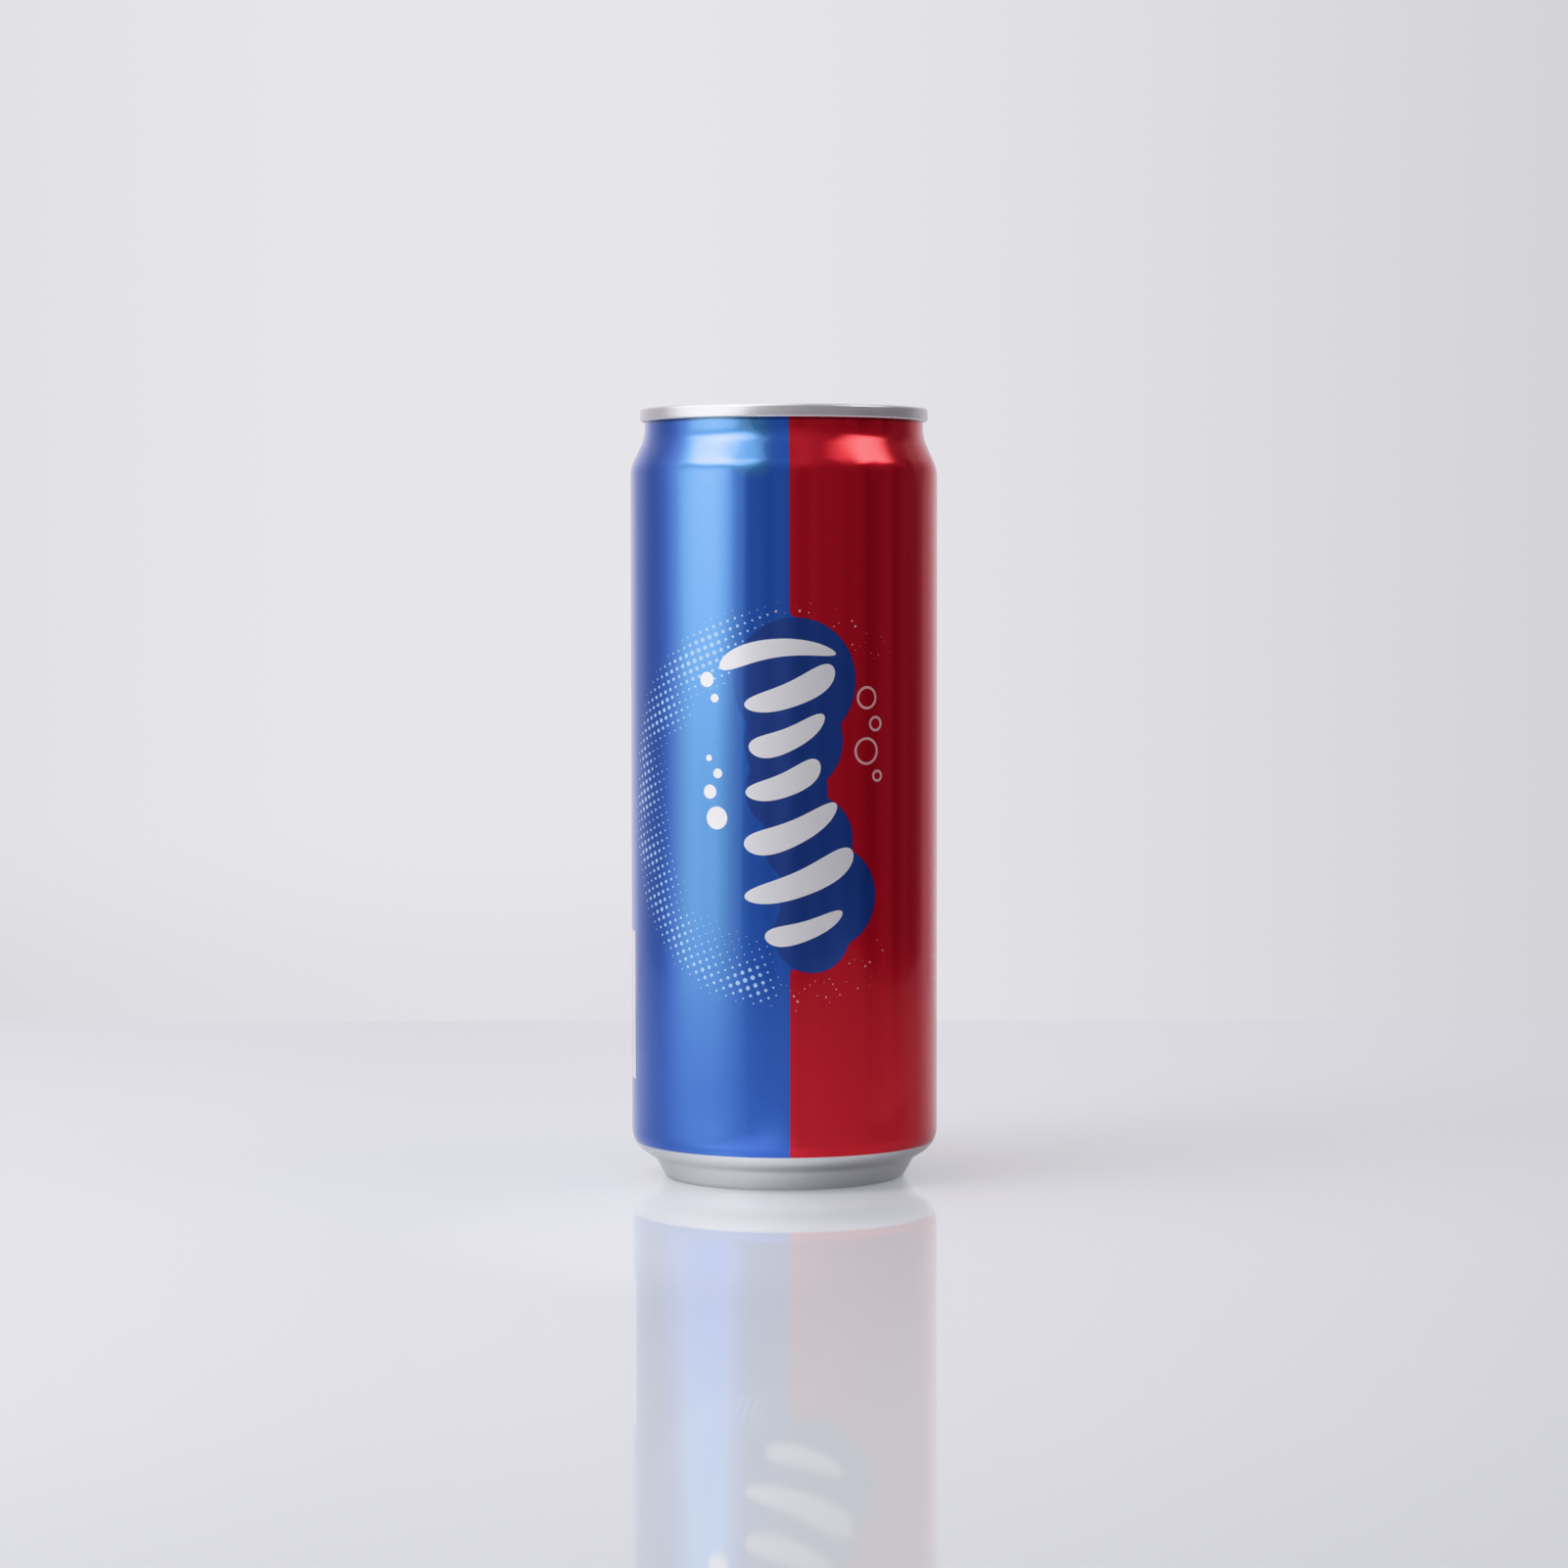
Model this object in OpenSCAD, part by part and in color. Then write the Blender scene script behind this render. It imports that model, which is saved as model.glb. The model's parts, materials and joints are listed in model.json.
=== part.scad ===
// Slim two-piece drinks can, shut and full: a drawn body with a domed base, a seamed-on end
// with a scored pouring panel, and a stay-on pull tab held by the rivet of the end.
// The can stands on z = 0, its axis is z, and the pouring panel faces -y.

/* [Body] */
// Outside diameter of the straight wall
body_d = 58; // [50:0.5:70]
// Height from the surface it stands on to the top of the seam
can_h = 145.2; // [100:0.2:180]
// How far the neck steps in from the wall, on each side
neck_in = 2.7; // [2:0.1:4]
// Straight part of the neck, just under the seam
neck_straight = 2.9; // [2:0.1:5]
// Height of the cone between the neck and the wall
neck_cone_h = 5.7; // [4:0.1:9]
// Rounding where the cone turns up into the neck
neck_round = 8; // [4:0.5:9]
// Rounding where the wall turns into the cone
shoulder_round = 6; // [3:0.5:9]
// Thickness of the neck wall, which stands between the end and the open air
wall_t = 0.16; // [0.12:0.01:0.3]

/* [Base] */
// How far the middle of the standing ring lies inside the wall
stand_in = 7.3; // [6:0.1:8]
// Distance from the middle of the standing ring to its inner leg
leg_in = 1; // [0.9:0.1:1.6]
// Distance from the middle of the standing ring to its outer leg
leg_out = 0.9; // [0.8:0.1:1.4]
// Rounding of the standing ring, inside
ring_round_in = 0.8; // [0.4:0.1:1]
// Rounding of the standing ring, outside
ring_round_out = 1.2; // [0.6:0.1:1.5]
// Height of the groove above the standing ring
groove_h = 3.7; // [3:0.1:4.2]
// How far the outer leg leans out on its way up to the groove
groove_lean = 2.1; // [1:0.1:2.6]
// Rounding in the groove
groove_round = 2.5; // [1:0.1:3]
// Height at which the sloping base would meet the wall
heel_h = 6.3; // [5.5:0.1:7]
// Rounding between the sloping base and the wall
heel_round = 5; // [3:0.1:6]
// Height of the inner leg, where the dome starts
leg_h = 4.4; // [3.4:0.1:5]
// Height of the dome at its middle
dome_h = 9.8; // [7.5:0.1:13]

/* [End] */
// Height of the double seam
seam_h = 2.5; // [2:0.1:3]
// How far the seam stands out from the neck
seam_over = 0.85; // [0.6:0.05:1.2]
// Rounding along the top of the seam
seam_round_top = 0.5; // [0.2:0.05:0.55]
// Rounding along the bottom of the seam
seam_round_low = 0.35; // [0.1:0.05:0.4]
// Sheet thickness of the end
end_t = 0.22; // [0.18:0.01:0.3]
// Depth of the countersink groove, from the top of the seam
sink_depth = 6.5; // [5.6:0.1:7.8]
// How far the chuck wall slopes in on its way down to the groove
chuck_in = 2.4; // [1:0.1:3]
// Width of the countersink groove
sink_w = 1.2; // [1.1:0.1:2]
// Rounding at the bottom of the groove
sink_round = 0.5; // [0.2:0.05:0.55]
// Height of the centre panel above the groove
panel_rise = 2.3; // [1.8:0.1:2.6]
// Rounding at the edge of the centre panel
panel_round = 0.5; // [0.3:0.05:0.6]
// Depth of the pressed-down field round the tab and the pouring panel
field_depth = 0.3; // [0.2:0.05:0.4]
// Distance from the pressed-down field to the edge of the centre panel
field_gap = 1.5; // [1.2:0.1:3]
// Half width of the field at the tab's heel
field_heel_r = 9.4; // [8.5:0.1:11]
// Half width of the pouring panel
pour_half_w = 10.2; // [8:0.1:11]
// Distance from the rivet to the near side of the pouring panel
pour_near = 3.9; // [3.6:0.1:5]
// Distance from the far side of the pouring panel to the pressed-down field's edge
pour_gap = 1.7; // [1:0.1:3]
// Width of the scored line
score_w = 0.36; // [0.2:0.02:0.5]
// Depth of the scored line
score_depth = 0.1; // [0.05:0.01:0.14]
// Height of the stiffening bead on the pouring panel
bead_h = 0.25; // [0.1:0.05:0.4]
// Width of that bead
bead_w = 1; // [0.5:0.1:1.4]
// Distance from the scored line to that bead
bead_in = 2.4; // [1.5:0.1:3]
// Distance from the tab's nose to that bead
bead_gap = 0.8; // [0.3:0.1:1.5]

/* [Tab] */
// Width of the tab at its nose
tab_w = 15.6; // [13:0.1:17]
// Width of the tab at its heel
tab_heel_w = 13.4; // [11:0.1:15]
// Distance from the rivet to the tip of the nose
tab_nose = 8.6; // [8:0.1:10.4]
// Distance from the heel to the edge of the centre panel
heel_gap = 6; // [4.6:0.1:7]
// Width of the rolled rim
hem_w = 1.9; // [1.4:0.1:2.3]
// Thickness of the rolled rim
hem_t = 1.1; // [0.9:0.05:1.3]
// Thickness of the web inside the rim
web_t = 0.34; // [0.2:0.02:0.5]
// Height of the rolled rim above the pressed-down field
tab_lift = 0.12; // [0.05:0.01:0.3]
// Distance from the middle of the rivet to the finger hole
hole_near = 6.2; // [5.8:0.1:8]
// Rounding of the finger hole on the side of the rivet
hole_near_round = 2; // [1:0.1:2.6]
// Width of the web left between the finger hole and the rolled rim
hole_gap = 0.5; // [0.3:0.1:1]
// Inner radius of the slot that frees the rivet island
slot_r = 3.7; // [3.3:0.1:4.5]
// Width of that slot
slot_w = 0.8; // [0.5:0.1:1]
// Angle that the slot runs through, round the nose side of the rivet
slot_span = 236; // [180:2:260]

/* [Rivet] */
// Radius of the raised pad under the tab
pad_r = 3.1; // [2.4:0.1:3.2]
// Height of that pad
pad_h = 0.35; // [0.2:0.05:0.6]
// Radius of the rivet's stem
stem_r = 1.6; // [1.2:0.1:2]
// Radius of the rivet's head
head_r = 2.7; // [2.2:0.1:3]
// Thickness of the rivet's head
head_t = 0.4; // [0.3:0.05:0.6]
// Play between the stem and the hole in the tab
stem_play = 0.05; // [0.02:0.01:0.1]

/* [Hidden] */
$fn = 96;
over = 1; // how far a cutter runs past what it cuts
arc_step = 7.5; // degrees between the points of a rounded corner
hem_step = 22.5; // the same, on the tab's rolled rim
dome_step = 2.5; // the same, on the domed base

// Colours
wall_blue = [0.10, 0.27, 0.66];
end_metal = [0.80, 0.81, 0.82];
tab_metal = [0.70, 0.71, 0.74];

// Body
body_r = body_d / 2;
neck_r = body_r - neck_in;
stand_r = body_r - stand_in;
leg_r = stand_r - leg_in;
ring_out_r = stand_r + leg_out;
seam_low = can_h - seam_h;
neck_low = seam_low - neck_straight;
shoulder_z = neck_low - neck_cone_h;
leg_round = 0.7; // rounding where the inner leg turns into the dome
dome_rise = dome_h - leg_h;
dome_r = (leg_r * leg_r + dome_rise * dome_rise) / (2 * dome_rise);

// End
seam_r = neck_r + seam_over;
seam_in_r = neck_r - wall_t - end_t;
chuck_round = 0.6; // rounding where the seam's inside turns into the chuck wall
sink_z = can_h - sink_depth;
sink_out_r = seam_in_r - chuck_in;
sink_in_r = sink_out_r - sink_w;
panel_z = sink_z + panel_rise;
field_z = panel_z - field_depth;
field_r = sink_in_r - panel_round - field_gap;

// Pouring panel, as an oval between the rivet and the field's edge, and its bead beyond the tab
pour_far = field_r - pour_gap;
bead_near = tab_nose + bead_gap;
bead_far = pour_far - bead_in;
bead_half_w = pour_half_w - bead_in;
oval_round = 0.96; // an oval's corners are rounded by this share of its half width

// Tab
tab_z = field_z + tab_lift;
web_z = field_z + pad_h;
tab_r = tab_w / 2;
tab_heel_r = tab_heel_w / 2;
tab_nose_y = tab_r - tab_nose;
tab_heel_y = sink_in_r - heel_gap - tab_heel_r;
tab_lean = asin((tab_r - tab_heel_r) / (tab_heel_y - tab_nose_y));
hole_in = hem_w + hole_gap; // from the tab's edge to the finger hole
hole_heel_w = tab_heel_r - hole_in;
hole_far = tab_heel_y + hole_heel_w;
hem_bend = 0.84; // the rolled rim is rounded by this share of half its thickness
run_less = 0.02; // the rim's straight runs are this much slimmer all round than its arcs
run_lap = 0.25; // and they reach this far into the arcs

// ---- Profiles -------------------------------------------------------------------------------

function unit(v) = v / norm(v);

// The points of one corner [x, y, radius], rounded between its neighbours
function corner(a, b, c, step) =
    let (
        to_a = unit([a.x - b.x, a.y - b.y]),
        to_c = unit([c.x - b.x, c.y - b.y]),
        inner = acos(max(-1, min(1, to_a * to_c))),
        run = b.z / tan(inner / 2),
        turn = 180 - inner,
        middle = [b.x, b.y] + unit(to_a + to_c) * b.z / sin(inner / 2),
        first = [b.x, b.y] + to_a * run - middle,
        side = sign(to_a.x * to_c.y - to_a.y * to_c.x),
        steps = max(2, ceil(turn / step))
    )
    b.z <= 0 || turn < 0.01 ? [[b.x, b.y]]
    : [for (i = [0:steps])
        let (t = -side * turn * i / steps)
        middle + [first.x * cos(t) - first.y * sin(t), first.x * sin(t) + first.y * cos(t)]];

// A closed outline of corners, each rounded by its own radius
function rounded(points, step = arc_step) =
    let (n = len(points))
    [for (i = [0:n - 1])
        each corner(points[(i + n - 1) % n], points[i], points[(i + 1) % n], step)];

// The underside of the end from the neck to the axis: the body is full up to this line
function end_underside() = [
    [seam_in_r + end_t, seam_low, 0],
    [sink_out_r + end_t, sink_z - end_t, sink_round + end_t],
    [sink_in_r - end_t, sink_z - end_t, sink_round + end_t],
    [sink_in_r - end_t, panel_z - end_t, max(0.05, panel_round - end_t)],
    [0, panel_z - end_t, 0]
];

// The top of the end from the axis to the seam
function end_topside() = [
    [0, panel_z, 0],
    [sink_in_r, panel_z, panel_round],
    [sink_in_r, sink_z, sink_round],
    [sink_out_r, sink_z, sink_round],
    [seam_in_r, seam_low, chuck_round],
    [seam_in_r, can_h, seam_round_top]
];

// The dome, from its middle out to the inner leg
function dome_line() =
    let (
        reach = asin(leg_r / dome_r),
        steps = ceil(reach / dome_step)
    )
    [for (i = [0:steps - 1])
        let (a = reach * i / steps)
        [dome_r * sin(a), dome_h - dome_r + dome_r * cos(a), 0]];

function body_outline() = concat(
    dome_line(),
    [
        [leg_r, leg_h, leg_round],
        [leg_r, 0, ring_round_in],
        [ring_out_r, 0, ring_round_out],
        [ring_out_r + groove_lean, groove_h, groove_round],
        [body_r, heel_h, heel_round],
        [body_r, shoulder_z, shoulder_round],
        [neck_r, neck_low, neck_round],
        [neck_r, seam_low, 0]
    ],
    end_underside()
);

function end_outline() = concat(
    end_topside(),
    [
        [seam_r, can_h, seam_round_top],
        [seam_r, seam_low, seam_round_low]
    ],
    end_underside()
);

// ---- Plan shapes ----------------------------------------------------------------------------

// The points of an arc about [0, y], from one angle to another
function arc(r, y, from, to) =
    let (steps = ceil(abs(to - from) / arc_step))
    [for (i = [0:steps])
        let (t = from + (to - from) * i / steps)
        [r * cos(t), y + r * sin(t)]];

// Two rounds on the y axis, the second one further along it, and the tangents between them
module egg(r1, y1, r2, y2) {
    lean = asin((r1 - r2) / (y2 - y1));
    polygon(concat(arc(r2, y2, lean, 180 - lean), arc(r1, y1, 180 - lean, 360 + lean)));
}

// The pressed-down field: wide round the pouring panel, narrow round the tab's heel
module field_plan(grow = 0) {
    wide_r = pour_half_w + pour_gap + grow;
    egg(wide_r, wide_r - field_r - grow, field_heel_r + grow, field_r - field_heel_r);
}

// A flattened round that lies across the y axis, from one distance to another on the -y side
module oval(half_w, near, far) {
    bend = (far - near) / 2 * oval_round;
    polygon(rounded([
        [-half_w, -far, bend], [half_w, -far, bend], [half_w, -near, bend], [-half_w, -near, bend]
    ]));
}

module pour_plan(grow = 0) {
    oval(pour_half_w + grow, pour_near - grow, pour_far + grow);
}

// ---- Pieces ---------------------------------------------------------------------------------

// Drawn body, full of drink, with its domed base and necked top
module body_solid() {
    difference() {
        rotate_extrude() polygon(rounded(body_outline()));
        translate([0, 0, field_z - end_t]) linear_extrude(field_depth + over) field_plan(end_t);
    }
}

module can_body() {
    color(wall_blue) body_solid();
}

// Rolled double seam, chuck wall, countersink and centre panel, in one sheet
module end_shell() {
    difference() {
        union() {
            rotate_extrude() polygon(rounded(end_outline()));
            translate([0, 0, field_z - end_t])
                linear_extrude(panel_z - field_z) field_plan(end_t);
        }
        translate([0, 0, field_z]) linear_extrude(field_depth + over) field_plan();
        translate([0, 0, field_z - score_depth]) linear_extrude(over) difference() {
            pour_plan(score_w / 2);
            pour_plan(-score_w / 2);
        }
    }
}

module pour_bead() {
    translate([0, 0, field_z - end_t / 2])
        linear_extrude(bead_h + end_t / 2) difference() {
            oval(bead_half_w, bead_near, bead_far);
            oval(bead_half_w - bead_w, bead_near + bead_w, bead_far - bead_w);
        }
}

// The rivet is drawn up out of the sheet: pad, stem and the head that clamps the tab
module rivet() {
    low = field_z - end_t / 2;
    translate([0, 0, low]) cylinder(r = pad_r, h = web_z - low);
    translate([0, 0, low]) cylinder(r = stem_r, h = web_z + web_t - low + head_t / 2);
    translate([0, 0, web_z + web_t]) cylinder(r = head_r, h = head_t);
}

module can_end() {
    color(end_metal) {
        end_shell();
        pour_bead();
        rivet();
    }
}

// A closed roll of width w and thickness t along two arcs and the tangents between them
module roll(r1, y1, r2, y2, w, t) {
    lean = asin((r1 - r2) / (y2 - y1));
    straight = sqrt(pow(y2 - y1, 2) - pow(r1 - r2, 2));
    module section(less = 0) {
        hw = w / 2 - less;
        ht = t / 2 - less;
        bend = ht * hem_bend;
        translate([0, t / 2]) polygon(rounded([
            [-hw, -ht, bend], [hw, -ht, bend], [hw, ht, bend], [-hw, ht, bend]
        ], hem_step));
    }
    translate([0, y1, 0]) rotate([0, 0, 180 - lean])
        rotate_extrude(angle = 180 + 2 * lean) translate([r1 - w / 2, 0]) section();
    translate([0, y2, 0]) rotate([0, 0, lean])
        rotate_extrude(angle = 180 - 2 * lean) translate([r2 - w / 2, 0]) section();
    for (side = [-1, 1])
        translate([side * r1 * cos(lean), y1 + r1 * sin(lean), 0])
            rotate([90, 0, 180 + side * lean]) translate([side * w / 2, 0, -run_lap])
                linear_extrude(straight + 2 * run_lap) section(run_less);
}

// Half width of the tab's straight sides at y, less an even inset
function tab_half_w(y, inset) = (tab_r - inset - (y - tab_nose_y) * sin(tab_lean)) / cos(tab_lean);

// The finger hole
module hole_plan() {
    heel_round_r = hole_heel_w * oval_round;
    near_w = tab_half_w(hole_near, hole_in);
    polygon(rounded([
        [-near_w, hole_near, hole_near_round],
        [near_w, hole_near, hole_near_round],
        [hole_heel_w, hole_far, heel_round_r],
        [-hole_heel_w, hole_far, heel_round_r]
    ]));
}

// The slot that frees the rivet island, round the nose side of the rivet's hole
module slot_plan() {
    from = 270 - slot_span / 2;
    to = 270 + slot_span / 2;
    polygon(concat(arc(slot_r + slot_w, 0, from, to), arc(slot_r, 0, to, from)));
}

// The flat of the tab inside its rolled rim
module tab_web() {
    inset = hem_w / 2;
    linear_extrude(web_t) difference() {
        egg(tab_r - inset, tab_nose_y, tab_heel_r - inset, tab_heel_y);
        hole_plan();
        slot_plan();
        circle(stem_r + stem_play);
    }
}

module pull_tab() {
    color(tab_metal) {
        translate([0, 0, tab_z]) roll(tab_r, tab_nose_y, tab_heel_r, tab_heel_y, hem_w, hem_t);
        translate([0, 0, web_z]) tab_web();
    }
}

can_body();
can_end();
pull_tab();
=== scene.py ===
import json
import math

import bmesh
import bpy
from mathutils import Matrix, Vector

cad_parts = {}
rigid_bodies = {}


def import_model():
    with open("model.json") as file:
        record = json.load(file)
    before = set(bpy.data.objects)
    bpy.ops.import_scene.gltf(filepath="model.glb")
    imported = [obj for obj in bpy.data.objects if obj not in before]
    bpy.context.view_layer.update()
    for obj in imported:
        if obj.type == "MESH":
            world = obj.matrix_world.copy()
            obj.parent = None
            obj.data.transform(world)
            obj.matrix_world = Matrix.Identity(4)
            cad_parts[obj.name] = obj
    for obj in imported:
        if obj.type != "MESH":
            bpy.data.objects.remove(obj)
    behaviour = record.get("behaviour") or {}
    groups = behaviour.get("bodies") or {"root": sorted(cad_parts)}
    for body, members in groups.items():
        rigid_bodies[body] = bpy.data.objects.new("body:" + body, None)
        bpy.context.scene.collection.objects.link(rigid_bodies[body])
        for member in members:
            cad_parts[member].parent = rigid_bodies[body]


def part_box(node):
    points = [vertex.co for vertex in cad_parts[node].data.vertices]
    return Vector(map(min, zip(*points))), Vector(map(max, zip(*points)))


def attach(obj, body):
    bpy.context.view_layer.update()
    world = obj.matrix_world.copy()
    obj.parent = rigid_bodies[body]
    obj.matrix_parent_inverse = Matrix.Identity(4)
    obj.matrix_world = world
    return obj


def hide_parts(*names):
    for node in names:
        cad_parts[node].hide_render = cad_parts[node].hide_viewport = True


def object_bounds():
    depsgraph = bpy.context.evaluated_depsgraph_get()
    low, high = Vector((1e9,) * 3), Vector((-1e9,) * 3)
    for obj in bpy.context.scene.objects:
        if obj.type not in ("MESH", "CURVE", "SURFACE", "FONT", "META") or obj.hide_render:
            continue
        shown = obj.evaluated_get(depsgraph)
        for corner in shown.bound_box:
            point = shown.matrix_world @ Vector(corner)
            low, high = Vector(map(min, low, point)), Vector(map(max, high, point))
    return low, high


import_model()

cadLow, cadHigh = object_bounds()
mm = 0.001
canTop = cadHigh.z
wallR = (cadHigh.x - cadLow.x) / 2
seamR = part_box("can_end")[1].x


# modelling helpers

def startPiece():
    if bpy.context.object and bpy.context.object.mode != "OBJECT":
        bpy.ops.object.mode_set(mode="OBJECT")
    bpy.ops.object.select_all(action="DESELECT")


def pick(piece):
    startPiece()
    piece.select_set(True)
    bpy.context.view_layer.objects.active = piece


def finishPiece(piece, name, smoothAngle=40):
    pick(piece)
    bpy.ops.object.transform_apply(location=True, rotation=True, scale=True)
    bpy.ops.object.mode_set(mode="EDIT")
    bpy.ops.mesh.select_all(action="SELECT")
    bpy.ops.mesh.remove_doubles(threshold=0.002 * mm)
    bpy.ops.mesh.normals_make_consistent(inside=False)
    bpy.ops.object.mode_set(mode="OBJECT")
    bpy.ops.object.shade_smooth_by_angle(angle=math.radians(smoothAngle))
    piece.name = name
    piece.data.name = name
    return piece


def joinPieces(first, others):
    pick(first)
    for other in others:
        other.select_set(True)
    bpy.ops.object.join()
    return first


def applyModifier(piece, kind, **settings):
    pick(piece)
    modifier = piece.modifiers.new(kind.title(), kind)
    for key, value in settings.items():
        setattr(modifier, key, value)
    bpy.ops.object.modifier_apply(modifier=modifier.name)


def roundedOutline(corners, arcStep=7.5):
    # each corner is (across, up, bend), the two ends keep their place
    points = [Vector(corners[0][:2])]
    for before, corner, after in zip(corners, corners[1:], corners[2:]):
        here = Vector(corner[:2])
        back = (Vector(before[:2]) - here).normalized()
        on = (Vector(after[:2]) - here).normalized()
        inner = back.angle(on)
        if corner[2] <= 0 or inner > math.radians(179):
            points.append(here)
            continue
        middle = here + (back + on).normalized() * corner[2] / math.sin(inner / 2)
        first = here + back * corner[2] / math.tan(inner / 2) - middle
        last = here + on * corner[2] / math.tan(inner / 2) - middle
        turn = first.angle_signed(last)
        steps = max(2, math.ceil(abs(math.degrees(turn)) / arcStep))
        for i in range(steps + 1):
            t = -turn * i / steps
            points.append(middle + Vector((first.x * math.cos(t) - first.y * math.sin(t),
                                           first.x * math.sin(t) + first.y * math.cos(t))))
    points.append(Vector(corners[-1][:2]))
    return points


def evenOutline(points, longest):
    # long straight stretches get more points, so that a dent has something to push
    out = [points[0]]
    for a, b in zip(points, points[1:]):
        count = max(1, math.ceil((b - a).length / longest))
        out += [a.lerp(b, (i + 1) / count) for i in range(count)]
    return out


def latheOutline(outline, turns):
    # one point, extruded along the outline and spun round the can's axis
    startPiece()
    bpy.ops.mesh.primitive_plane_add(size=mm, location=(0, 0, 0))
    piece = bpy.context.object
    bpy.ops.object.mode_set(mode="EDIT")
    bpy.ops.mesh.select_all(action="SELECT")
    bpy.ops.mesh.merge(type="CENTER")
    bpy.ops.transform.translate(value=(outline[0].x, 0, outline[0].y))
    for a, b in zip(outline, outline[1:]):
        bpy.ops.mesh.extrude_region_move(TRANSFORM_OT_translate={"value": (b.x - a.x, 0, b.y - a.y)})
    bpy.ops.mesh.select_all(action="SELECT")
    bpy.ops.mesh.spin(steps=turns, angle=2 * math.pi, center=(0, 0, 0), axis=(0, 0, 1))
    bpy.ops.object.mode_set(mode="OBJECT")
    return piece


# the drawn body, in metres

canBody = {
    "turns": 256,
    "longest": 2.2 * mm,
    "neckIn": 2.7 * mm,
    "neckStraight": 2.9 * mm,
    "neckCone": 5.7 * mm,
    "neckBend": 8 * mm,
    "shoulderBend": 6 * mm,
    "seamHeight": 2.5 * mm,
    "standIn": 7.3 * mm,
    "legIn": 1.0 * mm,
    "legOut": 0.9 * mm,
    "legHeight": 4.4 * mm,
    "ringBendIn": 0.8 * mm,
    "ringBendOut": 1.2 * mm,
    "grooveHeight": 3.7 * mm,
    "grooveLean": 2.1 * mm,
    "grooveBend": 2.5 * mm,
    "heelHeight": 6.3 * mm,
    "heelBend": 5 * mm,
    "domeHeight": 9.8 * mm,
    "domeSteps": 22,
    "sinkDepth": 6.5 * mm,
    "panelUp": 2.3 * mm,
    "printLow": 6.9 * mm,
    "rippleDepth": 0.09 * mm,
    "rippleCount": 19,
    "rippleAt": 134.8 * mm,
    "rippleTall": 2.3 * mm,
    "dentsFrom": 3.5 * mm,
    # shallow dents, in millimetres: angle round the can from the front, height, reach, depth
    "dents": [
        (-26, 14.5, 7.0, 0.16), (41, 13.0, 6.0, 0.20), (47, 17.0, 5.0, 0.10),
        (43, 12.6, 1.8, 0.09), (49, 15.2, 1.6, 0.07),
        (24, 134.6, 3.2, 0.10), (36, 134.2, 3.0, 0.12), (-40, 134.0, 3.0, 0.08),
        (-8, 133.4, 3.0, 0.06), (60, 133.5, 3.4, 0.10), (128, 60.0, 9.0, 0.18),
        (-150, 30.0, 8.0, 0.16), (170, 96.0, 10.0, 0.12), (-70, 20.0, 6.0, 0.08),
    ],
}

neckR = wallR - canBody["neckIn"]
seamLow = canTop - canBody["seamHeight"]
neckLow = seamLow - canBody["neckStraight"]
shoulderZ = neckLow - canBody["neckCone"]
sinkZ = canTop - canBody["sinkDepth"]
panelZ = sinkZ + canBody["panelUp"]


def makeCanBody(sizes):
    standR = wallR - sizes["standIn"]
    legR = standR - sizes["legIn"]
    ringOut = standR + sizes["legOut"]
    rise = sizes["domeHeight"] - sizes["legHeight"]
    domeR = (legR ** 2 + rise ** 2) / (2 * rise)
    reach = math.asin(legR / domeR)
    dome = []
    for i in range(sizes["domeSteps"]):
        a = reach * i / sizes["domeSteps"]
        dome.append((domeR * math.sin(a), sizes["domeHeight"] - domeR + domeR * math.cos(a), 0))
    corners = dome + [
        (legR, sizes["legHeight"], 0.7 * mm),
        (legR, 0, sizes["ringBendIn"]),
        (ringOut, 0, sizes["ringBendOut"]),
        (ringOut + sizes["grooveLean"], sizes["grooveHeight"], sizes["grooveBend"]),
        (wallR, sizes["heelHeight"], sizes["heelBend"]),
        (wallR, shoulderZ, sizes["shoulderBend"]),
        (neckR, neckLow, sizes["neckBend"]),
        (neckR, seamLow + 0.5 * mm, 0),
        (neckR - 0.3 * mm, seamLow + 0.5 * mm, 0),
        (neckR - 2.5 * mm, sinkZ - 0.6 * mm, 0),
        (0, sinkZ - 0.8 * mm, 0),
    ]
    piece = latheOutline(evenOutline(roundedOutline(corners, 5), sizes["longest"]), sizes["turns"])
    finishPiece(piece, "canBody", 50)

    # dents, pushed in with a soft fall-off from their middle
    for angle, height, size, depth in sizes["dents"]:
        turn = math.radians(angle)
        out = Vector((math.sin(turn), -math.cos(turn), 0))
        spot = out * wallR + Vector((0, 0, height * mm))
        for vertex in piece.data.vertices:
            if (vertex.co - spot).length > size * mm * 1.6 or vertex.co.z < sizes["dentsFrom"]:
                continue
            away = vertex.co - spot
            wide = math.hypot(away.x, away.y) / (size * mm)
            tall = away.z / (size * mm * 0.8)
            vertex.co -= out * depth * mm * math.exp(-2.2 * (wide ** 2 + tall ** 2))
    # the necking tools leave slight ripples round the shoulder
    for vertex in piece.data.vertices:
        height = (vertex.co.z - sizes["rippleAt"]) / sizes["rippleTall"]
        reach = math.hypot(vertex.co.x, vertex.co.y)
        if abs(height) > 3 or reach < neckR - 0.5 * mm:
            continue
        turn = math.atan2(vertex.co.x, -vertex.co.y)
        wave = 0.5 + 0.5 * math.sin(sizes["rippleCount"] * turn + 1.7 * math.sin(3 * turn + 0.6))
        push = sizes["rippleDepth"] * wave * math.exp(-height * height)
        vertex.co.x *= 1 - push / reach
        vertex.co.y *= 1 - push / reach
    print("body: spun from", len(corners), "corners, with", len(sizes["dents"]), "dents")
    return piece


# the seamed end, with its rivet

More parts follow.
